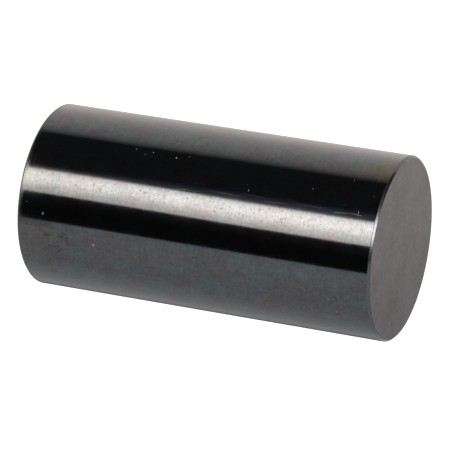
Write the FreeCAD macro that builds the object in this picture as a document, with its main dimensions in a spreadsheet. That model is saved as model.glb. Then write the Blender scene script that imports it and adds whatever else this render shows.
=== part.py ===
import FreeCAD, Part
import math
import os

import Sketcher

# Cylindrical pin gauge: one plain steel plug, hardened, ground and lapped, black-oxided all over.
#
# The gauge is a single turned piece. Its side is a true cylinder, the measuring surface. Each end is
# ground flat and square to the axis, and carries the same edge break: a chamfer whose two corners
# are stoned over, so that the pin leads into a bore without scoring it. There is no centre hole,
# flat, groove or marking.
#
# Frame: millimetres, Z up along the pin's axis. The origin is the centre of the lower end face, the
# face that the gauge stands on. Both ends are alike, so the pin can be turned over.

OUTPUT_FOLDER = "parts"

SIZES = (
    # alias, value in millimetres or degrees, what it is
    ("gauge_diameter", 25.12, "measuring diameter of the lapped side, 0.989 in"),
    ("gauge_length", 50.8, "overall length from end face to end face, 2 in"),
    ("chamfer_leg", 0.30, "length of each chamfer along the pin's axis"),
    ("chamfer_angle", 45.0, "angle between each chamfer and the side, in degrees"),
    ("corner_radius", 0.10, "radius that stones over both corners of each chamfer"),
)

# The straight lines of the half section, in order from the axis out, up the side and back.
STRAIGHTS = ("lower_face", "lower_chamfer", "side", "upper_chamfer", "upper_face")

# How the sketcher numbers the ends of a line or an arc, and its own origin.
START = 1
END = 2
SKETCH_ORIGIN = (-1, START)


def make_sheet(doc):
    """Make the spreadsheet that holds every driving size under its own name."""
    sheet = doc.addObject("Spreadsheet::Sheet", "Sizes")
    for row, (alias, value, meaning) in enumerate(SIZES, start=1):
        sheet.set(f"A{row}", alias)
        sheet.set(f"B{row}", str(value))
        sheet.setAlias(f"B{row}", alias)
        sheet.set(f"C{row}", meaning)
    doc.recompute()
    return sheet


def origin_plane(body, role):
    """Find one of the body's own origin planes by its role, such as XZ_Plane."""
    for feature in body.Origin.OriginFeatures:
        if feature.Role == role:
            return feature
    raise LookupError(f"{body.Label} has no origin feature {role}")


def profile_corners(sheet):
    """List the half section's sharp corners in order: out, up the side and back to the axis."""
    radius = sheet.gauge_diameter / 2
    length = sheet.gauge_length
    leg = sheet.chamfer_leg
    inset = leg * math.tan(math.radians(sheet.chamfer_angle))
    return [
        FreeCAD.Vector(0, 0, 0),
        FreeCAD.Vector(radius - inset, 0, 0),
        FreeCAD.Vector(radius, leg, 0),
        FreeCAD.Vector(radius, length - leg, 0),
        FreeCAD.Vector(radius - inset, length, 0),
        FreeCAD.Vector(0, length, 0),
    ]


def stoned_corner(before, corner, after, radius):
    """Lay out the arc that rounds one corner: where it starts, its middle and where it ends."""
    back = (before - corner).normalize()
    ahead = (after - corner).normalize()
    half_angle = back.getAngle(ahead) / 2
    setback = radius / math.tan(half_angle)
    centre = corner + (back + ahead).normalize() * (radius / math.sin(half_angle))
    middle = centre + (corner - centre).normalize() * radius
    return corner + back * setback, middle, corner + ahead * setback


def draw_outline(sketch, sheet):
    """Draw the half section: five lines joined by four small arcs, closed along the pin's axis."""
    corners = profile_corners(sheet)
    turns = []
    for before, corner, after in zip(corners, corners[1:], corners[2:]):
        turns.append(stoned_corner(before, corner, after, sheet.corner_radius))
    starts = [corners[0]] + [turn[-1] for turn in turns]
    ends = [turn[0] for turn in turns] + [corners[-1]]
    lines = {}
    for name, start, end in zip(STRAIGHTS, starts, ends):
        lines[name] = sketch.addGeometry(Part.LineSegment(start, end), False)
    lines["axis"] = sketch.addGeometry(Part.LineSegment(corners[-1], corners[0]), False)
    arcs = [sketch.addGeometry(Part.Arc(*turn), False) for turn in turns]
    return lines, arcs


def join_outline(sketch, lines, arcs):
    """Join the outline end to end: every arc tangent to the two lines beside it."""
    for arc, before, after in zip(arcs, STRAIGHTS, STRAIGHTS[1:]):
        sketch.addConstraint(Sketcher.Constraint("Tangent", lines[before], END, arc, START))
        sketch.addConstraint(Sketcher.Constraint("Tangent", arc, END, lines[after], START))
    axis = lines["axis"]
    sketch.addConstraint(Sketcher.Constraint("Coincident", lines["lower_face"], START, *SKETCH_ORIGIN))
    sketch.addConstraint(Sketcher.Constraint("Coincident", lines["upper_face"], END, axis, START))
    sketch.addConstraint(Sketcher.Constraint("Coincident", axis, END, *SKETCH_ORIGIN))
    for level in ("lower_face", "upper_face"):
        sketch.addConstraint(Sketcher.Constraint("Horizontal", lines[level]))
    for upright in ("side", "axis"):
        sketch.addConstraint(Sketcher.Constraint("Vertical", lines[upright]))


def bind(sketch, name, expression, *constraint):
    """Add one dimension to the sketch under a name, and drive it from the sheet."""
    number = sketch.addConstraint(Sketcher.Constraint(*constraint))
    sketch.renameConstraint(number, name)
    sketch.setExpression(f"Constraints.{name}", expression)


def size_chamfer(sketch, sheet, lines, end, corner):
    """Size one end's chamfer from the sharp corner that it would make with the side."""
    chamfer = lines[f"{end}_chamfer"]
    side = lines["side"]
    sharp = sketch.addGeometry(Part.Point(corner), True)
    sketch.addConstraint(Sketcher.Constraint("PointOnObject", sharp, START, side))
    sketch.addConstraint(Sketcher.Constraint("PointOnObject", sharp, START, chamfer))
    if end == "lower":
        from_face = (lines["axis"], END, sharp, START)
        between = (side, START, chamfer, END)
    else:
        from_face = (sharp, START, lines["axis"], START)
        between = (chamfer, START, side, END)
    leg = ("DistanceY", *from_face, sheet.chamfer_leg)
    bind(sketch, f"{end}_chamfer_leg", "Sizes.chamfer_leg", *leg)
    inside = math.radians(180 - sheet.chamfer_angle)
    angle = ("Angle", *between, inside)
    bind(sketch, f"{end}_chamfer_angle", "180 deg - Sizes.chamfer_angle * 1 deg", *angle)


def size_outline(sketch, sheet, lines, arcs):
    """Drive every dimension of the half section from the sheet."""
    radius = ("DistanceX", lines["axis"], END, lines["side"], START, sheet.gauge_diameter / 2)
    bind(sketch, "gauge_radius", "Sizes.gauge_diameter / 2", *radius)
    length = ("DistanceY", lines["axis"], END, lines["axis"], START, sheet.gauge_length)
    bind(sketch, "gauge_length", "Sizes.gauge_length", *length)
    rounding = ("Radius", arcs[0], sheet.corner_radius)
    bind(sketch, "corner_radius", "Sizes.corner_radius", *rounding)
    for arc in arcs[1:]:
        sketch.addConstraint(Sketcher.Constraint("Equal", arcs[0], arc))
    corners = profile_corners(sheet)
    size_chamfer(sketch, sheet, lines, "lower", corners[2])
    size_chamfer(sketch, sheet, lines, "upper", corners[3])


def make_half_section(body, sheet):
    """Draw and constrain the pin's half section, upright beside the axis."""
    sketch = body.newObject("Sketcher::SketchObject", "HalfSection")
    sketch.AttachmentSupport = [(origin_plane(body, "XZ_Plane"), "")]
    sketch.MapMode = "FlatFace"
    lines, arcs = draw_outline(sketch, sheet)
    join_outline(sketch, lines, arcs)
    size_outline(sketch, sheet, lines, arcs)
    return sketch


def make_gauge_pin(doc, sheet):
    """Turn the gauge as one body, standing on its lower end face at the origin."""
    body = doc.addObject("PartDesign::Body", "gauge_pin")
    body.Label = "gauge_pin"
    section = make_half_section(body, sheet)
    turned = body.newObject("PartDesign::Revolution", "TurnedPin")
    turned.Profile = section
    turned.ReferenceAxis = (section, ["V_Axis"])
    turned.Angle = 360
    section.Visibility = False
    body.Placement = FreeCAD.Placement()
    doc.recompute()
    return body


def check_document(doc, bodies):
    """Stop if any feature failed, or if a body isn't one valid closed solid."""
    for item in doc.Objects:
        faults = {"Invalid", "Error"}.intersection(item.State)
        if faults:
            raise RuntimeError(f"{item.Label} is {', '.join(sorted(faults))}")
        if item.isDerivedFrom("Sketcher::SketchObject") and not item.FullyConstrained:
            raise RuntimeError(f"{item.Label} isn't fully constrained")
    for body in bodies:
        shape = body.Shape
        if shape.isNull() or not shape.isValid():
            raise RuntimeError(f"{body.Label} has no valid shape")
        if len(shape.Solids) != 1:
            raise RuntimeError(f"{body.Label} has {len(shape.Solids)} solids, not one")


def export_bodies(bodies):
    """Write each body to a STEP file named after it."""
    os.makedirs(OUTPUT_FOLDER, exist_ok=True)
    for body in bodies:
        path = os.path.join(OUTPUT_FOLDER, body.Label + ".step")
        body.Shape.exportStep(path)
        box = body.Shape.optimalBoundingBox()
        size = f"{box.XLength:.2f} x {box.YLength:.2f} x {box.ZLength:.2f} mm"
        print(f"{path}: {size}, {body.Shape.Volume:.1f} mm3, {len(body.Shape.Faces)} faces")


def main():
    """Build the pin gauge, check it and write its solid."""
    doc = FreeCAD.newDocument("PinGauge")
    sheet = make_sheet(doc)
    bodies = [make_gauge_pin(doc, sheet)]
    check_document(doc, bodies)
    export_bodies(bodies)


main()
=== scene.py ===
import logging
import math
import random
from dataclasses import dataclass
from enum import Enum
from typing import Union

import bmesh
import bpy
from mathutils import Matrix, Quaternion, Vector


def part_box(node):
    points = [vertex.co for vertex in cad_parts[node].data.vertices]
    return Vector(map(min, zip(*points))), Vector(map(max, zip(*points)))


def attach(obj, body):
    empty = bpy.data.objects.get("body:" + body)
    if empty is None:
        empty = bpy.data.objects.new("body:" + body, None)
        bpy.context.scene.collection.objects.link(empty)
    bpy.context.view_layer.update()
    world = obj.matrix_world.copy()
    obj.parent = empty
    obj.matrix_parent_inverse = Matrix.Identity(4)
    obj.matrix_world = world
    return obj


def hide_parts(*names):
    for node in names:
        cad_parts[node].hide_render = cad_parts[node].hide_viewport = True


# Cylindrical pin gauge, dressed: one lapped and black-oxided steel plug that stands on its lower end.
#
# Frame: metres, Z up along the pin's axis, origin at the centre of the lower end face. Places round
# the pin are given as a turn in degrees, from the front (-Y) towards -X. Small sizes on the surface
# are in millimetres and named so.

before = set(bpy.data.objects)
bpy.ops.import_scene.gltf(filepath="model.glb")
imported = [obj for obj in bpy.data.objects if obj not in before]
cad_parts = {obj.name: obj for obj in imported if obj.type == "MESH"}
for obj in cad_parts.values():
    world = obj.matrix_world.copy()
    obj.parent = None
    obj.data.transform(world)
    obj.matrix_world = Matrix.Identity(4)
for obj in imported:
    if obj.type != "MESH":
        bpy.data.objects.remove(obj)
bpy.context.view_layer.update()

MM = 0.001
WELD = 0.001 * MM
log = logging.getLogger("pin_gauge")


def to_mesh(bm: bmesh.types.BMesh, name: str) -> bpy.types.Mesh:
    """Write a finished shape to a mesh.

    Args:
        bm: the shape, which is freed.
        name: the mesh's name.

    Returns:
        The new mesh.
    """
    mesh = bpy.data.meshes.new(name)
    bm.to_mesh(mesh)
    bm.free()
    return mesh


def add_piece(name: str, mesh: bpy.types.Mesh, *finishes: bpy.types.Material) -> bpy.types.Object:
    """Add one piece to the scene.

    Args:
        name: the piece's name.
        mesh: its mesh.
        finishes: its materials, in slot order.

    Returns:
        The new object.
    """
    piece = bpy.data.objects.new(name, mesh)
    bpy.context.scene.collection.objects.link(piece)
    for finish in finishes:
        mesh.materials.append(finish)
    return piece


# ---------------------------------------------------------------------------------------------
# Shader maths
# ---------------------------------------------------------------------------------------------


class Term:
    """A number that varies over a surface. Arithmetic on it adds Math nodes to its shader."""

    def __init__(self, shader: "Shader", socket: bpy.types.NodeSocket) -> None:
        """Wrap one output socket of a node in the shader."""
        self.shader = shader
        self.socket = socket

    def math(self, operation: str, *values: "Number") -> "Term":
        """Add one Math node.

        Args:
            operation: Blender's name for the operation.
            values: its inputs in order, each a term or a plain number.

        Returns:
            The node's result.
        """
        node = self.shader.node("ShaderNodeMath", {"operation": operation}, dict(enumerate(values)))
        return Term(self.shader, node.outputs[0])

    def __add__(self, other: "Number") -> "Term":
        """Return self + other."""
        return self.math("ADD", self, other)

    def __radd__(self, other: "Number") -> "Term":
        """Return other + self."""
        return self.math("ADD", other, self)

    def __sub__(self, other: "Number") -> "Term":
        """Return self - other."""
        return self.math("SUBTRACT", self, other)

    def __rsub__(self, other: "Number") -> "Term":
        """Return other - self."""
        return self.math("SUBTRACT", other, self)

    def __mul__(self, other: "Number") -> "Term":
        """Return self * other."""
        return self.math("MULTIPLY", self, other)

    def __rmul__(self, other: "Number") -> "Term":
        """Return other * self."""
        return self.math("MULTIPLY", other, self)

    def __truediv__(self, other: "Number") -> "Term":
        """Return self / other."""
        return self.math("DIVIDE", self, other)

    def __rtruediv__(self, other: "Number") -> "Term":
        """Return other / self."""
        return self.math("DIVIDE", other, self)

    def __neg__(self) -> "Term":
        """Return -self."""
        return self.math("MULTIPLY", self, -1.0)

    def greater_of(self, other: "Number") -> "Term":
        """Return whichever of the two is greater."""
        return self.math("MAXIMUM", self, other)

    def step(self, start: float, end: float, low: float = 0.0, high: float = 1.0) -> "Term":
        """Turn smoothly from low to high as the number goes from start to end, and hold outside.

        Args:
            start: the number at which the result leaves low.
            end: the number at which the result reaches high. It may be under start.
            low: the result before start.
            high: the result after end.

        Returns:
            The eased number.
        """
        if start > end:
            start, end, low, high = end, start, high, low
        settings = {"interpolation_type": "SMOOTHSTEP"}
        sockets = {"Value": self, "From Min": start, "From Max": end, "To Min": low, "To Max": high}
        return Term(self.shader, self.shader.node("ShaderNodeMapRange", settings, sockets).outputs[0])


Number = Union[Term, float]
Colour = tuple[float, float, float]


class Shader:
    """One material and the nodes in it."""

    def __init__(self, name: str) -> None:
        """Start an empty node tree.

        Args:
            name: the material's name.
        """
        self.material = bpy.data.materials.new(name)
        self.material.use_nodes = True
        self.tree = self.material.node_tree
        self.tree.nodes.clear()

    def node(self, kind: str, settings: dict | None = None, sockets: dict | None = None) -> bpy.types.Node:
        """Add one node.

        Args:
            kind: the node's type.
            settings: its own settings, which are set first. stops are a ramp's places and colours.
            sockets: a value or a link for each input named, by number, identifier or name.

        Returns:
            The node.
        """
        node = self.tree.nodes.new(kind)
        for key, value in (settings or {}).items():
            if key == "stops":
                self.set_stops(node.color_ramp, value)
            else:
                setattr(node, key, value)
        for key, value in (sockets or {}).items():
            self.plug(self.find(node.inputs, key), value)
        return node

    @staticmethod
    def find(sockets: bpy.types.NodeInputs, key: int | str) -> bpy.types.NodeSocket:
        """Find one input of a node.

        Args:
            sockets: the node's inputs.
            key: the input's number, identifier or name.

        Returns:
            The input.
        """
        if isinstance(key, int):
            return sockets[key]
        for socket in sockets:
            if socket.identifier == key:
                return socket
        return sockets[key]

    @staticmethod
    def set_stops(ramp: bpy.types.ColorRamp, stops: list[tuple[float, Colour]]) -> None:
        """Give a ramp its stops.

        Args:
            ramp: the ramp, which starts with two stops.
            stops: two or more places and colours, in order from 0 to 1.
        """
        while len(ramp.elements) < len(stops):
            ramp.elements.new(1.0)
        for element, (place, colour) in zip(ramp.elements, stops):
            element.position = place
            element.color = (*colour, 1.0)

    def plug(self, socket: bpy.types.NodeSocket, value: object) -> None:
        """Link an input, or set it.

        Args:
            socket: the input.
            value: the term or output to link, or the plain value to set.
        """
        if isinstance(value, Term):
            value = value.socket
        if isinstance(value, bpy.types.NodeSocket):
            self.tree.links.new(value, socket)
        elif socket.type == "RGBA" and len(value) == 3:
            socket.default_value = (*value, 1.0)
        else:
            socket.default_value = value

    def place(self) -> bpy.types.NodeSocket:
        """Give the point's own place on the piece, in the frame's metres."""
        return self.node("ShaderNodeTexCoord").outputs["Object"]

    def parts(self, vector: bpy.types.NodeSocket) -> tuple[Term, Term, Term]:
        """Split a vector into its three numbers."""
        node = self.node("ShaderNodeSeparateXYZ", sockets={"Vector": vector})
        return Term(self, node.outputs[0]), Term(self, node.outputs[1]), Term(self, node.outputs[2])

    def turn(self, x: Term, y: Term) -> Term:
        """Give the turn round the pin in degrees, 0 at the front and positive towards -X."""
        return x.math("ARCTAN2", -x, -y) * math.degrees(1.0)

    def noise(self, vector: bpy.types.NodeSocket, stretch: Colour, detail: float = 2.0,
              roughness: float = 0.5, seed: float = 0.0) -> Term:
        """Add noise of its own grain size along each axis.

        Args:
            vector: the place to read it at.
            stretch: the grain size along X, Y and Z, in millimetres.
            detail: how many finer layers it has.
            roughness: how strong the finer layers are.
            seed: picks another pattern.

        Returns:
            The noise, about 0.5 on average.
        """
        scale = tuple(1.0 / (size * MM) for size in stretch)
        shift = (seed * 17.3, seed * 9.1, seed * 4.7)
        sockets = {"Vector": vector, "Location": shift, "Scale": scale}
        mapped = self.node("ShaderNodeMapping", {"vector_type": "POINT"}, sockets).outputs[0]
        sockets = {"Vector": mapped, "Scale": 1.0, "Detail": detail, "Roughness": roughness}
        return Term(self, self.node("ShaderNodeTexNoise", {"noise_dimensions": "3D"}, sockets).outputs[0])

    def mix(self, factor: Number, first: object, second: object) -> bpy.types.NodeSocket:
        """Mix two colours.

        Args:
            factor: 0 for the first colour, 1 for the second.
            first: the first colour, as a socket or three numbers.
            second: the second colour.

        Returns:
            The mixed colour.
        """
        settings = {"data_type": "RGBA", "clamp_factor": True}
        sockets = {"Factor_Float": factor, "A_Color": first, "B_Color": second}
        return self.node("ShaderNodeMix", settings, sockets).outputs[2]

    def scaled(self, colour: object, factor: Number) -> bpy.types.NodeSocket:
        """Multiply a colour by one number."""
        sockets = {0: colour, "Scale": factor}
        return self.node("ShaderNodeVectorMath", {"operation": "SCALE"}, sockets).outputs[0]

    def bump(self, height: Term, depth: float,
             under: bpy.types.NodeSocket | None = None) -> bpy.types.NodeSocket:
        """Raise the surface's relief.

        Args:
            height: the relief, from 0 to 1.
            depth: how deep a relief of 1 is, in millimetres.
            under: another relief's normal that this one adds to.

        Returns:
            The new normal.
        """
        sockets = {"Height": height, "Distance": depth * MM, "Strength": 1.0}
        if under is not None:
            sockets["Normal"] = under
        return self.node("ShaderNodeBump", sockets=sockets).outputs[0]

    def steel(self, colour: object, roughness: Number, normal: bpy.types.NodeSocket) -> bpy.types.Material:
        """Close the shader as bare oxided metal.

        Args:
            colour: its reflectance straight on.
            roughness: how far it scatters what it reflects.
            normal: its relief.

        Returns:
            The finished material.
        """
        sockets = {"Base Color": colour, "Metallic": 1.0, "Roughness": roughness, "Normal": normal}
        shader = self.node("ShaderNodeBsdfPrincipled", sockets=sockets)
        self.node("ShaderNodeOutputMaterial", sockets={"Surface": shader.outputs[0]})
        return self.material

    def glow(self, colour: object, strength: float) -> bpy.types.Material:
        """Close the shader as a plain light source.

        Args:
            colour: its colour.
            strength: its radiance where the colour is white.

        Returns:
            The finished material.
        """
        shader = self.node("ShaderNodeEmission", sockets={"Color": colour, "Strength": strength})
        self.node("ShaderNodeOutputMaterial", sockets={"Surface": shader.outputs[0]})
        return self.material


# ---------------------------------------------------------------------------------------------
# Finishes
# ---------------------------------------------------------------------------------------------


class MarkKind(Enum):
    """What a small mark on the lapped side is."""

    NICK = "a speck of bare, dull metal"
    SCUFF = "a faint line that scatters a little light"
    STAIN = "a darker spot in the oxide"
    TARNISH = "a patch where the oxide is blotchy"
    STRAW = "a patch where the oxide is thin and warmer in colour"
    WEAR = "a strip where handling has left a fine sparkle"


@dataclass(frozen=True)
class Mark:
    """One small mark on the lapped side.

    Attributes:
        turn: where it is round the pin, in degrees.
        height: how far it is above the lower end, in millimetres.
        length: its length along the pin, in millimetres.
        width: its width round the pin, in millimetres.
        strength: how plain it is, from 0 to 1.
        kind: what it is.
        lean: how far its length is turned from the pin's axis, in degrees.
    """

    turn: float
    height: float
    length: float
    width: float
    strength: float
    kind: MarkKind
    lean: float = 0.0


@dataclass(frozen=True)
class LappedOxide:
    """The measuring surface: ground, lapped and blacked, so it mirrors softly.

    Attributes:
        cool: the oxide's colour over most of the side.
        warm: its colour in the patches between.
        straw: its colour where it is thin.
        olive: its colour close to the lower corner.
        nick: the colour of bare metal.
        sheen: the roughness of the clean oxide.
        toe: how far up the pin the duller lower end reaches, in millimetres.
        lip: how far up the olive edge reaches, in millimetres.
        marks: every small mark on it.
    """

    cool: Colour = (0.0672, 0.0780, 0.0835)
    warm: Colour = (0.0735, 0.0725, 0.0790)
    straw: Colour = (0.0790, 0.0715, 0.0635)
    olive: Colour = (0.0980, 0.0930, 0.0620)
    nick: Colour = (0.34, 0.34, 0.35)
    sheen: float = 0.085
    toe: float = 4.5
    lip: float = 1.0
    marks: tuple[Mark, ...] = ()

    def spots(self, shader: Shader, unrolled: bpy.types.NodeSocket, radius: float) -> dict[MarkKind, Term]:
        """Draw every mark on the unrolled side.

        Args:
            shader: the shader to draw in.
            unrolled: the place on the unrolled side: round the pin and up it, in millimetres.
            radius: the pin's radius in millimetres.

        Returns:
            For each kind of mark, how much of it there is at a point, from 0 to 1.
        """
        found: dict[MarkKind, Term] = {}
        for mark in self.marks:
            around = math.radians(mark.turn) * radius
            sockets = {
                "Vector": unrolled,
                "Location": (around, mark.height, 0.0),
                "Rotation": (0.0, 0.0, math.radians(mark.lean)),
                "Scale": (mark.width / 2, mark.length / 2, 1.0),
            }
            near = shader.node("ShaderNodeMapping", {"vector_type": "TEXTURE"}, sockets).outputs[0]
            away = shader.node("ShaderNodeVectorMath", {"operation": "LENGTH"}, {0: near}).outputs["Value"]
            spot = Term(shader, away).step(1.0, 0.3, 0.0, mark.strength)
            found[mark.kind] = found[mark.kind].greater_of(spot) if mark.kind in found else spot
        return found

    def make(self, radius: float) -> bpy.types.Material:
        """Make the material.

        Args:
            radius: the pin's radius in metres.

        Returns:
            The finished material.
        """
        shader = Shader("lapped_oxide")
        place = shader.place()
        x, y, z = shader.parts(place)
        around = shader.turn(x, y) * math.radians(radius / MM)
        sockets = {"X": around, "Y": z * (1 / MM), "Z": 0.0}
        unrolled = shader.node("ShaderNodeCombineXYZ", sockets=sockets).outputs[0]
        spots = self.spots(shader, unrolled, radius / MM)

        patches = shader.noise(place, (3.2, 3.2, 3.6), detail=3.0, roughness=0.6)
        smears = shader.noise(place, (1.2, 1.2, 1.5), detail=3.0, roughness=0.6, seed=1)
        grain = shader.noise(place, (0.46, 0.46, 0.42), detail=2.0, roughness=0.6, seed=2)
        pits = shader.noise(place, (0.40, 0.40, 0.34), detail=2.0, roughness=0.6, seed=4)
        glints = shader.noise(place, (0.34, 0.34, 0.28), detail=2.0, roughness=0.6, seed=7)
        lay = shader.noise(place, (4.0, 4.0, 0.05), detail=2.0, roughness=0.6, seed=3)
        strokes = shader.noise(place, (2.4, 2.4, 0.16), detail=2.0, roughness=0.6, seed=10)
        drags = shader.noise(place, (0.32, 0.32, 2.2), detail=2.0, roughness=0.6, seed=12)
        height = z * (1 / MM)
        toe = height.step(self.toe, 1.0)
        lip = height.step(self.lip, 0.35)

        worn = spots[MarkKind.WEAR]
        tone = (patches.step(0.38, 0.62) - 0.5) * (1 - worn * 0.75) + 0.5
        colour = shader.mix(tone, self.warm, self.cool)
        colour = shader.mix(spots[MarkKind.STRAW], colour, self.straw)
        colour = shader.mix(lip * 0.3, colour, self.olive)
        fine = (grain - 0.5) * 0.42 + (strokes - 0.5) * 0.26 + (drags - 0.5) * 0.20
        fine = fine * (1.5 - worn * 0.5)
        fine = fine - pits.step(0.57, 0.70) * (worn * 0.20 + 0.10)
        fine = fine + glints.step(0.58, 0.70) * (worn * 0.14 + 0.05)
        broad = (smears - 0.5) * 0.42 + (patches - 0.5) * 0.25 + toe * 0.10
        blotch = smears.step(0.52, 0.66) * (spots[MarkKind.TARNISH] * 0.34)
        shade = fine + broad - blotch + 1.0
        shade = shade * (1 - spots[MarkKind.STAIN] * 0.6)
        rough = self.sheen + (smears - 0.5) * 0.06 + spots[MarkKind.SCUFF] * 0.22
        rough = rough + toe * 0.028 + lip * 0.16
        specks = spots[MarkKind.NICK]
        colour = shader.mix(specks, shader.scaled(colour, shade), self.nick)
        rough = rough + specks * 0.42
        normal = shader.bump(grain, 0.0010)
        normal = shader.bump(lay, 0.00010, normal)
        return shader.steel(colour, rough, normal)


@dataclass(frozen=True)
class StonedEdge:
    """The chamfers: the same oxide, worn thin and brownish where the pin has been handled.

    Attributes:
        oxide: the colour of the sound oxide.
        worn: its colour where it is thin.
        sheen: its roughness.
    """

    oxide: Colour = (0.072, 0.076, 0.081)
    worn: Colour = (0.085, 0.078, 0.070)
    sheen: float = 0.16

    def make(self) -> bpy.types.Material:
        """Make the material.

        Returns:
            The finished material.
        """
        shader = Shader("stoned_edge")
        place = shader.place()
        patches = shader.noise(place, (3.0, 3.0, 6.0), detail=3.0, roughness=0.65, seed=5)
        grain = shader.noise(place, (0.25, 0.25, 0.10), detail=2.0, seed=6)
        colour = shader.mix(patches.step(0.50, 0.66), self.oxide, self.worn)
        colour = shader.scaled(colour, (grain - 0.5) * 1.1 + 1.0)
        rough = self.sheen + (grain - 0.5) * 0.08
        return shader.steel(colour, rough, shader.bump(grain, 0.002))


@dataclass(frozen=True)
class GroundEnd:
    """The end faces: ground flat, then blacked, so they are matt and evenly grey.

    Attributes:
        oxide: the oxide's colour.
        sheen: its roughness.
    """

    oxide: Colour = (0.0898, 0.0822, 0.0842)
    sheen: float = 0.42

    def make(self) -> bpy.types.Material:
        """Make the material.

        Returns:
            The finished material.
        """
        shader = Shader("ground_end")
        place = shader.place()
        clouds = shader.noise(place, (3.4, 3.4, 3.4), detail=4.0, roughness=0.6, seed=8)
        grain = shader.noise(place, (0.6, 0.6, 0.6), detail=2.0, roughness=0.6, seed=9)
        shade = (clouds - 0.5) * 1.3 + (grain - 0.5) * 1.1 + 1.0
        colour = shader.scaled(self.oxide, shade)
        rough = self.sheen + (clouds - 0.5) * 0.05
        return shader.steel(colour, rough, shader.bump(grain, 0.004))


# ---------------------------------------------------------------------------------------------
# The pin
# ---------------------------------------------------------------------------------------------


class Region(Enum):
    """The parts of the pin that are finished differently, by material slot."""

    SIDE = 0
    EDGE = 1
    END = 2


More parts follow.
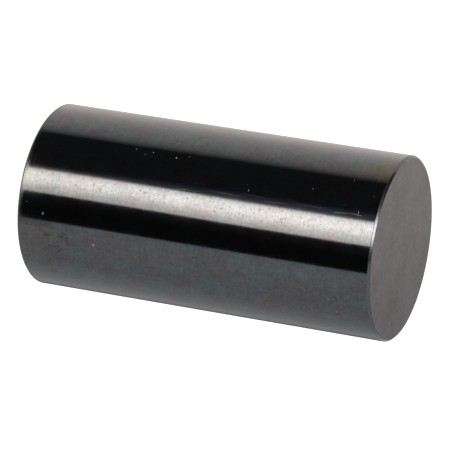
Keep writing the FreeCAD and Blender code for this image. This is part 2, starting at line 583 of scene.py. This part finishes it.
HANDLING_MARKS = (
    # the strip that has been rubbed most, and the patches where the oxide is blotchy or thin
    Mark(7.0, 25.4, 110.0, 4.4, 1.0, MarkKind.WEAR),
    Mark(-31.0, 4.5, 15.0, 6.5, 1.0, MarkKind.TARNISH),
    Mark(-38.0, 46.0, 9.0, 5.0, 0.6, MarkKind.TARNISH),
    Mark(-30.0, 25.5, 9.0, 5.0, 0.5, MarkKind.TARNISH),
    Mark(53.0, 14.0, 12.0, 2.6, 0.4, MarkKind.TARNISH),
    Mark(-32.0, 3.0, 12.0, 8.0, 0.5, MarkKind.STRAW),
    Mark(51.0, 49.5, 9.0, 7.0, 0.9, MarkKind.STRAW),
    Mark(-20.0, 2.6, 9.0, 1.6, 0.4, MarkKind.STAIN),
    # specks of bare metal
    Mark(35.0, 21.0, 0.38, 0.38, 1.0, MarkKind.NICK),
    Mark(36.5, 17.5, 0.34, 0.34, 0.85, MarkKind.NICK),
    Mark(34.0, 16.5, 0.32, 0.32, 0.65, MarkKind.NICK),
    Mark(37.0, 15.0, 0.36, 0.30, 0.70, MarkKind.NICK),
    Mark(37.5, 22.7, 0.30, 0.30, 0.60, MarkKind.NICK),
    Mark(28.0, 41.0, 0.32, 0.32, 0.70, MarkKind.NICK),
    Mark(29.5, 49.4, 0.28, 0.28, 0.50, MarkKind.NICK),
    Mark(39.0, 46.0, 0.22, 0.44, 0.60, MarkKind.NICK, 8.0),
    Mark(20.5, 32.4, 0.18, 0.62, 0.60, MarkKind.NICK, 10.0),
    Mark(24.0, 32.0, 0.20, 0.38, 0.45, MarkKind.NICK, 10.0),
    Mark(17.5, 48.0, 0.15, 0.90, 0.55, MarkKind.NICK, -4.0),
    Mark(21.0, 45.8, 0.34, 0.22, 0.36, MarkKind.NICK, 40.0),
    Mark(-13.5, 3.9, 0.32, 0.56, 0.95, MarkKind.NICK),
    Mark(-8.0, 1.4, 0.80, 0.16, 0.34, MarkKind.NICK, 12.0),
    Mark(-10.5, 1.0, 0.20, 0.36, 0.24, MarkKind.NICK),
    Mark(-5.5, 22.6, 0.30, 0.20, 0.25, MarkKind.NICK),
    Mark(-29.0, 11.4, 0.36, 0.40, 0.80, MarkKind.NICK),
    Mark(-49.0, 46.0, 0.36, 0.30, 0.40, MarkKind.NICK),
    Mark(-39.5, 45.0, 0.34, 0.26, 0.32, MarkKind.NICK),
    Mark(-51.5, 48.5, 0.30, 0.26, 0.25, MarkKind.NICK),
    Mark(-60.0, 17.4, 0.26, 0.50, 0.20, MarkKind.NICK, 20.0),
    Mark(47.0, 20.4, 0.26, 0.60, 0.32, MarkKind.NICK, 14.0),
    Mark(46.0, 2.7, 0.30, 0.30, 0.22, MarkKind.NICK),
    # fine rubbed lines beside the worn strip
    Mark(16.2, 29.5, 7.0, 0.14, 0.55, MarkKind.SCUFF, 1.5),
    Mark(17.6, 33.5, 6.0, 0.12, 0.60, MarkKind.SCUFF, 2.5),
    Mark(15.4, 36.5, 5.0, 0.14, 0.50, MarkKind.SCUFF, -2.0),
    Mark(16.8, 41.5, 6.5, 0.12, 0.60, MarkKind.SCUFF, 1.0),
    Mark(15.6, 45.6, 4.0, 0.16, 0.70, MarkKind.SCUFF, -3.0),
    Mark(18.6, 38.6, 2.4, 0.10, 0.60, MarkKind.SCUFF, 14.0),
    Mark(16.0, 47.8, 2.6, 0.20, 0.70, MarkKind.SCUFF, 6.0),
    Mark(19.5, 25.5, 4.0, 0.10, 0.40, MarkKind.SCUFF, 3.0),
    Mark(14.8, 24.0, 4.5, 0.14, 0.40, MarkKind.SCUFF, -1.0),
    # spots and short dashes in the oxide
    Mark(-26.0, 25.9, 0.34, 0.60, 0.55, MarkKind.STAIN, 16.0),
    Mark(-32.0, 26.3, 0.40, 0.60, 0.40, MarkKind.STAIN, -20.0),
    Mark(-33.0, 22.8, 0.90, 0.50, 0.30, MarkKind.STAIN, 30.0),
    Mark(-24.0, 20.7, 0.50, 0.40, 0.30, MarkKind.STAIN),
    Mark(-41.0, 8.3, 0.55, 0.55, 0.50, MarkKind.STAIN),
    Mark(-21.5, 7.5, 0.50, 0.45, 0.45, MarkKind.STAIN),
    Mark(-27.0, 6.7, 0.50, 0.50, 0.40, MarkKind.STAIN),
    Mark(-34.5, 5.2, 3.20, 0.28, 0.32, MarkKind.STAIN, 4.0),
    Mark(-39.0, 4.0, 0.50, 0.50, 0.35, MarkKind.STAIN),
    Mark(-22.5, 3.5, 0.70, 0.50, 0.40, MarkKind.STAIN),
    Mark(-22.0, 12.2, 0.50, 0.40, 0.30, MarkKind.STAIN),
    Mark(-38.5, 46.1, 0.40, 1.00, 0.36, MarkKind.STAIN),
    Mark(56.0, 10.2, 1.30, 0.55, 0.36, MarkKind.STAIN, 14.0),
    Mark(55.0, 20.2, 0.90, 0.50, 0.34, MarkKind.STAIN, -18.0),
    Mark(50.5, 21.2, 0.50, 0.50, 0.26, MarkKind.STAIN),
    Mark(3.5, 5.2, 1.40, 0.26, 0.42, MarkKind.STAIN, -4.0),
    Mark(6.2, 11.8, 0.40, 0.70, 0.52, MarkKind.STAIN, 24.0),
    Mark(4.9, 11.3, 0.30, 0.34, 0.36, MarkKind.STAIN),
    Mark(9.5, 9.3, 0.40, 0.36, 0.30, MarkKind.STAIN),
    Mark(6.0, 37.8, 0.90, 0.20, 0.60, MarkKind.STAIN, -6.0),
    Mark(8.5, 43.2, 0.30, 0.26, 0.60, MarkKind.STAIN),
    Mark(7.0, 34.6, 0.26, 0.30, 0.45, MarkKind.STAIN),
    Mark(8.0, 45.8, 0.26, 0.26, 0.40, MarkKind.STAIN),
    Mark(7.8, 48.8, 0.26, 0.34, 0.40, MarkKind.STAIN),
)


@dataclass(frozen=True)
class Scuffing:
    """Faint hairlines that handling has left all round the side, and specks on its back half.

    Attributes:
        count: how many hairlines there are.
        specks: how many specks of bare metal there are on the back half.
        seed: picks another set.
        reach: the pin's length in millimetres.
        clear: how far they stay from both ends, in millimetres.
    """

    count: int = 46
    specks: int = 12
    seed: int = 11
    reach: float = 50.8
    clear: float = 1.5

    def marks(self) -> tuple[Mark, ...]:
        """Lay out the hairlines and the specks, always the same ones.

        Returns:
            A mark for each of them.
        """
        pick = random.Random(self.seed)
        found = []
        for _ in range(self.count):
            turn = pick.uniform(-172.0, 172.0)
            height = pick.uniform(self.clear, self.reach - self.clear)
            length = pick.uniform(0.8, 4.5)
            width = pick.uniform(0.06, 0.11)
            strength = pick.uniform(0.15, 0.6)
            lean = pick.gauss(0.0, 38.0)
            found.append(Mark(turn, height, length, width, strength, MarkKind.SCUFF, lean))
        for _ in range(self.specks):
            turn = 180.0 + pick.uniform(-84.0, 84.0)
            if turn > 180.0:
                turn -= 360.0
            height = pick.uniform(self.clear, self.reach - self.clear)
            size = pick.uniform(0.22, 0.36)
            strength = pick.uniform(0.3, 0.9)
            found.append(Mark(turn, height, size, size, strength, MarkKind.NICK))
        return tuple(found)


@dataclass
class GaugePin:
    """The gauge: a straight lapped plug with a stoned chamfer round both ends.

    Attributes:
        low: the lowest corner of the solid it stands for.
        high: the highest corner.
        chamfer: the chamfer's length along the pin's axis, and across it.
        rounding: the radius of the chamfer's two corners.
        steps: how many steps it is turned in.
        arc_steps: how many steps each rounded corner has.
        margin: how far the loops that hold the flats stand from each rounded corner.
        upright_tilt: the most that the side's normals lean up or down.
        flat_tilt: the least that an end face's normals do.
    """

    low: Vector
    high: Vector
    chamfer: float = 0.30 * MM
    rounding: float = 0.10 * MM
    steps: int = 256
    arc_steps: int = 6
    margin: float = 0.04 * MM
    upright_tilt: float = 0.001
    flat_tilt: float = 0.9999

    @property
    def radius(self) -> float:
        """Give the radius of the side."""
        return (self.high.x - self.low.x) / 2

    def half_section(self) -> bmesh.types.BMesh:
        """Draw the half section from axis to axis, with its corners rounded and held.

        Returns:
            The half section, in the plane of X and Z.
        """
        bm = bmesh.new()
        inner = self.radius - self.chamfer
        upright = (
            (0.0, self.low.z),
            (inner, self.low.z),
            (self.radius, self.low.z + self.chamfer),
            (self.radius, self.high.z - self.chamfer),
            (inner, self.high.z),
            (0.0, self.high.z),
        )
        corners = [bm.verts.new((across, 0.0, up)) for across, up in upright]
        for pair in zip(corners, corners[1:]):
            bm.edges.new(pair)
        setback = self.rounding * math.tan(math.radians(45.0 / 2))
        bmesh.ops.bevel(
            bm,
            geom=corners[1:-1],
            offset=setback,
            offset_type="OFFSET",
            segments=self.arc_steps,
            profile=0.5,
            affect="VERTICES",
            material=-1,
        )
        for edge in [e for e in bm.edges if e.calc_length() > 4 * self.margin]:
            start, end = edge.verts
            whole = edge.calc_length()
            bmesh.utils.edge_split(edge, start, self.margin / whole)
            bmesh.utils.edge_split(edge, end, self.margin / (whole - self.margin))
        return bm

    def mesh(self) -> bpy.types.Mesh:
        """Turn the half section round the axis, and mark each face with its region.

        Returns:
            The pin's closed mesh.
        """
        bm = self.half_section()
        geometry = [*bm.verts, *bm.edges]
        middle = ((self.low.x + self.high.x) / 2, (self.low.y + self.high.y) / 2, 0.0)
        bmesh.ops.translate(bm, verts=bm.verts, vec=middle)
        bmesh.ops.spin(
            bm,
            geom=geometry,
            cent=middle,
            axis=(0.0, 0.0, 1.0),
            angle=2 * math.pi,
            steps=self.steps,
            use_merge=True,
        )
        bmesh.ops.remove_doubles(bm, verts=bm.verts, dist=WELD)
        bmesh.ops.recalc_face_normals(bm, faces=bm.faces)
        for face in bm.faces:
            face.smooth = True
            face.material_index = self.region(face).value
        return to_mesh(bm, "gauge_pin_turned")

    def region(self, face: bmesh.types.BMFace) -> Region:
        """Say which region a face belongs to, by how it is tilted.

        Args:
            face: one face of the pin.

        Returns:
            Its region.
        """
        tilt = abs(face.normal.z)
        if tilt < self.upright_tilt:
            return Region.SIDE
        return Region.END if tilt > self.flat_tilt else Region.EDGE

    def build(self) -> bpy.types.Object:
        """Build the pin, dress it and seat it on its body.

        Returns:
            The dressed pin.
        """
        scuffs = Scuffing(reach=(self.high.z - self.low.z) / MM).marks()
        side = LappedOxide(marks=HANDLING_MARKS + scuffs).make(self.radius)
        pin = add_piece("pin_body", self.mesh(), side, StonedEdge().make(), GroundEnd().make())
        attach(pin, "root")
        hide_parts("gauge_pin")
        return pin


# ---------------------------------------------------------------------------------------------
# The studio
# ---------------------------------------------------------------------------------------------


def set_stage(piece: bpy.types.Object, seen: bool) -> None:
    """Set how a piece of the studio shows: to the camera or in the pin's polish, never in diffuse light or
    shadow.

    Args:
        piece: the floor or a light card.
        seen: True for what the camera sees, False for what only shows in the pin's polish.
    """
    piece.visible_camera = seen
    piece.visible_glossy = not seen
    piece.visible_diffuse = False
    piece.visible_shadow = False


@dataclass(frozen=True)
class Glow:
    """How bright a card is at one place along it.

    Attributes:
        turn: the place, in degrees round the pin.
        light: its radiance.
        tint: its colour.
    """

    turn: float
    light: float
    tint: Colour = (1.0, 1.0, 1.0)


@dataclass(frozen=True)
class CurvedCard:
    """A tall lit card that stands curved round the pin and shows only in its polish.

    Attributes:
        name: the card's name.
        glows: its brightness from one upright edge to the other.
        foot: the height of its lower edge.
        top: the height of its upper edge.
        reach: its distance from the pin's axis.
        lift: how much brighter it gets for each metre up, as a share.
        level: the height at which it has its stated brightness.
        slip: how far its glows are shifted round above that height, and back below it, in degrees.
        slip_under: how far under that height the shift starts.
        slip_over: how far over it the shift ends.
        facet: how much of the turn one of its facets takes, in degrees.
    """

    name: str
    glows: tuple[Glow, ...]
    foot: float = -1.2
    top: float = 1.6
    reach: float = 0.6
    lift: float = 0.0
    level: float = -0.2
    slip: float = 0.0
    slip_under: float = 0.035
    slip_over: float = 0.025
    facet: float = 2.0

    def mesh(self) -> bpy.types.Mesh:
        """Sweep one upright line round the pin, from the first glow to the last.

        Returns:
            The card's mesh.
        """
        bm = bmesh.new()
        start = math.radians(self.glows[0].turn)
        end = math.radians(self.glows[-1].turn)
        across = (-math.sin(start) * self.reach, -math.cos(start) * self.reach)
        foot = bm.verts.new((*across, self.foot))
        top = bm.verts.new((*across, self.top))
        line = bm.edges.new((foot, top))
        bmesh.ops.spin(
            bm,
            geom=[foot, top, line],
            cent=(0.0, 0.0, 0.0),
            axis=(0.0, 0.0, 1.0),
            angle=start - end,
            steps=max(4, round(math.degrees(abs(end - start)) / self.facet)),
            use_merge=False,
        )
        return to_mesh(bm, self.name)

    def material(self) -> bpy.types.Material:
        """Make the card's light, which changes along it and up it.

        Returns:
            The glowing material.
        """
        shader = Shader(self.name)
        x, y, z = shader.parts(shader.place())
        first = self.glows[0].turn
        span = self.glows[-1].turn - first
        if span < 0:
            raise ValueError(f"{self.name} runs backwards")
        most = max(glow.light for glow in self.glows)
        stops = []
        for glow in self.glows:
            colour = tuple(channel * glow.light / most for channel in glow.tint)
            stops.append(((glow.turn - first) / span, colour))
        slipped = z.step(self.level - self.slip_under, self.level + self.slip_over, -self.slip, self.slip)
        along = (shader.turn(x, y) + slipped - first) / span
        ramp = shader.node("ShaderNodeValToRGB", {"stops": stops}, {"Fac": along}).outputs[0]
        colour = shader.scaled(ramp, 1 + (z - self.level) * self.lift)
        return shader.glow(colour, most)

    def build(self) -> bpy.types.Object:
        """Build the card and stand it in the studio.

        Returns:
            The card.
        """
        card = add_piece(self.name, self.mesh(), self.material())
        set_stage(card, seen=False)
        return card


@dataclass(frozen=True)
class FlatCard:
    """A flat lit card that faces the pin and shows only in its polish.

    Attributes:
        name: the card's name.
        centre: where its middle is.
        facing: the point that it faces.
        width: its size along X, or as near to X as it can lie.
        depth: its other size.
        light: its radiance in the middle.
        fall: how far it darkens from its middle to its +X edge, as a share. It brightens as much
            towards its -X edge.
        tint: its colour.
    """

    name: str
    centre: Vector
    facing: Vector
    width: float
    depth: float
    light: float
    fall: float = 0.0
    tint: Colour = (1.0, 1.0, 1.0)

    def mesh(self) -> bpy.types.Mesh:
        """Lay out the card and turn it to face its point.

        Returns:
            The card's mesh.
        """
        sight = (self.facing - self.centre).normalized()
        side = Vector((1.0, 0.0, 0.0))
        rise = sight.cross(side).normalized()
        turned = Matrix((side, rise, sight)).transposed().to_4x4()
        size = Matrix.Diagonal((self.width, self.depth, 1.0, 1.0))
        bm = bmesh.new()
        bmesh.ops.create_grid(bm, x_segments=4, y_segments=4, size=0.5)
        bmesh.ops.transform(bm, matrix=Matrix.Translation(self.centre) @ turned @ size, verts=bm.verts)
        return to_mesh(bm, self.name)

    def material(self) -> bpy.types.Material:
        """Make the card's light, which falls off along X.

        Returns:
            The glowing material.
        """
        shader = Shader(self.name)
        x, _, _ = shader.parts(shader.place())
        share = (x - self.centre.x) / (self.width / 2)
        colour = shader.scaled(self.tint, (1 - share * self.fall).greater_of(0.0))
        return shader.glow(colour, self.light)

    def build(self) -> bpy.types.Object:
        """Build the card and hang it in the studio.

        Returns:
            The card.
        """
        card = add_piece(self.name, self.mesh(), self.material())
        set_stage(card, seen=False)
        return card


@dataclass(frozen=True)
class Sweep:
    """A plain pale floor that curves up into a wall all round.

    Attributes:
        level: the floor's height.
        reach: the wall's distance from the pin.
        height: the wall's height.
        bend: the radius of the curve between floor and wall.
        light: how bright it is.
    """

    level: float
    reach: float = 2.4
    height: float = 3.0
    bend: float = 0.6
    light: float = 1.25

    def mesh(self) -> bpy.types.Mesh:
        """Turn the sweep's outline round the pin.

        Returns:
            The sweep's mesh, which faces inwards.
        """
        bm = bmesh.new()
        outline = ((0.0, self.level), (self.reach, self.level), (self.reach, self.level + self.height))
        corners = [bm.verts.new((across, 0.0, up)) for across, up in outline]
        for pair in zip(corners, corners[1:]):
            bm.edges.new(pair)
        bmesh.ops.bevel(
            bm,
            geom=[corners[1]],
            offset=self.bend,
            offset_type="OFFSET",
            segments=10,
            profile=0.5,
            affect="VERTICES",
            material=-1,
        )
        bmesh.ops.spin(
            bm,
            geom=[*bm.verts, *bm.edges],
            cent=(0.0, 0.0, 0.0),
            axis=(0.0, 0.0, 1.0),
            angle=2 * math.pi,
            steps=96,
            use_merge=True,
        )
        bmesh.ops.remove_doubles(bm, verts=bm.verts, dist=10 * WELD)
        bmesh.ops.recalc_face_normals(bm, faces=bm.faces)
        bmesh.ops.reverse_faces(bm, faces=bm.faces)
        return to_mesh(bm, "sweep")

    def build(self) -> bpy.types.Object:
        """Build the sweep and light it.

        Returns:
            The sweep.
        """
        sweep = add_piece("sweep", self.mesh(), Shader("pale_sweep").glow((1.0, 1.0, 1.0), self.light))
        set_stage(sweep, seen=True)
        return sweep


@dataclass(frozen=True)
class Studio:
    """The floor, the cards and the room's own dim light round the pin.

    Attributes:
        top: the middle of the pin's upper end face.
        level: the floor's height.
        end_card_rise: how high the card before the upper end stands, in degrees.
        end_card_reach: how far that card is from the end.
    """

    top: Vector
    level: float
    end_card_rise: float = 44.0
    end_card_reach: float = 0.12

    def cards(self) -> list[CurvedCard | FlatCard]:
        """List the cards that the pin mirrors.

        Returns:
            The cards, not yet built.
        """
        lamp_warm = (1.13, 1.01, 0.90)
        lamp_plain = (1.13, 1.025, 0.915)
        lamp_cool = (1.02, 0.98, 1.05)
        room_warm = (1.085, 1.0, 0.945)
        brown = (1.10, 0.98, 0.88)
        navy = (0.80, 0.90, 1.12)
        rise = math.radians(self.end_card_rise)
        before_end = self.top + Vector((0.0, math.cos(rise), math.sin(rise))) * self.end_card_reach
        return [
            CurvedCard(
                "strip_box",
                (
                    Glow(-17.0, 0.026),
                    Glow(-10.0, 0.040),
                    Glow(-3.1, 0.04),
                    Glow(-2.1, 4.2, lamp_warm),
                    Glow(0.5, 4.7, lamp_warm),
                    Glow(4.0, 5.8, lamp_warm),
                    Glow(8.0, 7.5, lamp_warm),
                    Glow(12.0, 9.2, lamp_warm),
                    Glow(16.0, 9.8, lamp_plain),
                    Glow(20.0, 9.6, lamp_plain),
                    Glow(23.5, 8.0, lamp_plain),
                    Glow(25.6, 6.0, lamp_plain),
                    Glow(27.1, 1.1, lamp_cool),
                    Glow(29.2, 0.25, lamp_cool),
                    Glow(34.0, 0.06, lamp_cool),
                ),
                top=0.0,
                lift=1.6,
                slip=0.6,
            ),
            CurvedCard(
                "bench_card",
                (
                    Glow(-180.0, 0.20),
                    Glow(-168.0, 0.165),
                    Glow(-161.0, 0.20),
                    Glow(-156.0, 0.36),
                    Glow(-150.0, 0.54),
                    Glow(-140.0, 0.66),
                    Glow(-124.0, 0.85),
                    Glow(-108.0, 0.94),
                    Glow(-88.0, 0.92),
                    Glow(-72.0, 1.0),
                    Glow(-50.0, 1.08),
                    Glow(-36.6, 1.0),
                ),
                top=-0.02,
            ),
            CurvedCard(
                "shelf_card",
                (
                    Glow(-180.0, 0.45),
                    Glow(-150.0, 0.86),
                    Glow(-126.0, 1.0),
                    Glow(-99.0, 1.12),
                    Glow(-62.0, 1.27),
                    Glow(-36.6, 1.2),
                ),
                foot=-0.02,
                top=1.6,
            ),
            CurvedCard(
                "ceiling_card",
                (
                    Glow(79.5, 0.10, room_warm),
                    Glow(83.5, 0.42, room_warm),
                    Glow(87.5, 0.76, room_warm),
                    Glow(95.5, 1.10, room_warm),
                    Glow(108.0, 1.34, room_warm),
                    Glow(120.0, 1.38, room_warm),
                    Glow(132.0, 1.31, room_warm),
                    Glow(140.0, 1.22, room_warm),
                    Glow(156.0, 0.88, room_warm),
                    Glow(168.0, 0.64, room_warm),
                    Glow(180.0, 0.55, room_warm),
                ),
                top=0.46,
                slip=-1.0,
            ),
            CurvedCard(
                "rim_strip",
                (
                    Glow(-24.0, 0.5),
                    Glow(-8.0, 0.9),
                    Glow(-3.0, 4.8),
                    Glow(18.0, 11.8),
                    Glow(38.0, 13.5, lamp_cool),
                    Glow(49.0, 9.5, lamp_cool),
                    Glow(56.0, 3.5, lamp_cool),
                    Glow(62.0, 1.4),
                    Glow(73.0, 0.6),
                    Glow(83.0, 0.38),
                    Glow(100.0, 0.12),
                ),
                foot=0.75,
                top=2.2,
            ),
            CurvedCard(
                "upper_fill",
                (
                    Glow(60.0, 0.35, brown),
                    Glow(86.0, 0.22, brown),
                    Glow(100.0, 0.13, brown),
                    Glow(112.0, 0.15, brown),
                    Glow(126.0, 0.35, brown),
                ),
                foot=0.46,
                top=0.75,
            ),
            CurvedCard("dark_wall", (Glow(32.0, 0.055), Glow(79.0, 0.055)), top=0.05),
            CurvedCard(
                "front_fill",
                (Glow(-35.0, 0.7), Glow(20.0, 0.8), Glow(80.0, 0.7)),
                foot=0.08,
                top=0.42,
            ),
            FlatCard(
                "end_card",
                centre=before_end,
                facing=self.top,
                width=0.082,
                depth=0.131,
                light=1.08,
                fall=0.85,
                tint=(1.03, 1.0, 1.0),
            ),
            CurvedCard(
                "blue_edge",
                (
                    Glow(28.0, 0.30, navy),
                    Glow(32.5, 0.20, navy),
                    Glow(35.5, 0.09, navy),
                    Glow(39.0, 0.03, navy),
                ),
                foot=-0.219,
                top=0.0,
                reach=0.58,
                lift=8.0,
            ),
            FlatCard(
                "under_card",
                centre=Vector((0.0, 0.3, -1.25)),
                facing=self.top,
                width=1.4,
                depth=1.4,
                light=1.2,
                tint=(1.02, 1.0, 0.62),
            ),
            FlatCard(
                "overhead_card",
                centre=self.top + Vector((0.0, 0.0, 0.8)),
                facing=self.top,
                width=0.4,
                depth=0.4,
                light=1.5,
            ),
        ]

    def room(self) -> None:
        """Keep the room dim beyond the cards."""
        world = bpy.data.worlds.new("dim_room")
        world.use_nodes = True
        background = world.node_tree.nodes["Background"]
        background.inputs["Color"].default_value = (0.025, 0.024, 0.024, 1.0)
        bpy.context.scene.world = world

    def lamp(self) -> bpy.types.Object:
        """Hang one large soft lamp over the floor, out of the polish.

        Returns:
            The lamp.
        """
        light = bpy.data.lights.new("soft_lamp", "AREA")
        light.shape = "DISK"
        light.size = 1.2
        light.energy = 4.0
        lamp = bpy.data.objects.new("soft_lamp", light)
        lamp.location = (0.0, 0.0, 1.6)
        lamp.visible_glossy = False
        lamp.visible_camera = False
        bpy.context.scene.collection.objects.link(lamp)
        return lamp

    def build(self) -> list[bpy.types.Object]:
        """Build the whole studio.

        Returns:
            Every piece of it.
        """
        self.room()
        pieces = [Sweep(self.level).build(), self.lamp()]
        pieces.extend(card.build() for card in self.cards())
        view = bpy.context.scene.view_settings
        view.view_transform = "Standard"
        view.look = "None"
        return pieces


@dataclass(frozen=True)
class Viewpoint:
    """Where the camera stands, how it is turned and its lens.

    Attributes:
        middle: the pin's middle.
        distance: how far the camera is from the middle.
        rise: how high it stands above the middle, in degrees.
        drift: how far its sight passes from the middle, in metres.
        roll: how far it is turned about its sight, in degrees, anticlockwise.
        lens: its focal length in millimetres, on a sensor 36 wide.
    """

    middle: Vector
    distance: float = 0.43256
    rise: float = 20.72
    drift: tuple[float, float, float] = (0.000606, 0.000012, 0.000047)
    roll: float = 99.20
    lens: float = 254.7

    def build(self) -> bpy.types.Object:
        """Set up the camera and make it the scene's own.

        Returns:
            The camera.
        """
        rise = math.radians(self.rise)
        spot = self.middle + Vector((0.0, -math.cos(rise), math.sin(rise))) * self.distance
        sight = self.middle + Vector(self.drift) - spot
        turned = sight.to_track_quat("-Z", "Y") @ Quaternion((0.0, 0.0, 1.0), math.radians(self.roll))
        data = bpy.data.cameras.new("camera")
        data.sensor_width = 36.0
        data.lens = self.lens
        data.clip_start = 0.01
        data.clip_end = 20.0
        camera = bpy.data.objects.new("camera", data)
        camera.matrix_world = Matrix.Translation(spot) @ turned.to_matrix().to_4x4()
        bpy.context.scene.collection.objects.link(camera)
        bpy.context.scene.camera = camera
        return camera


# ---------------------------------------------------------------------------------------------
# Assembly
# ---------------------------------------------------------------------------------------------


def main() -> None:
    """Build the camera, the pin and the studio in order, and report each."""
    logging.basicConfig(level=logging.INFO, format="%(name)s: %(message)s")
    low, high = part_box("gauge_pin")
    middle = (low + high) / 2
    top = Vector((middle.x, middle.y, high.z))

    camera = Viewpoint(middle).build()
    log.info("%s stands %.3f m from the pin", camera.name, (camera.location - middle).length)

    pin = GaugePin(low, high).build()
    triangles = sum(len(polygon.vertices) - 2 for polygon in pin.data.polygons)
    log.info("%s: %d triangles, %.2f mm across, %.2f mm long", pin.name, triangles,
             pin.dimensions.x / MM, pin.dimensions.z / MM)

    for piece in Studio(top, low.z).build():
        log.info("%s is in the studio", piece.name)


if __name__ == "__main__":
    main()
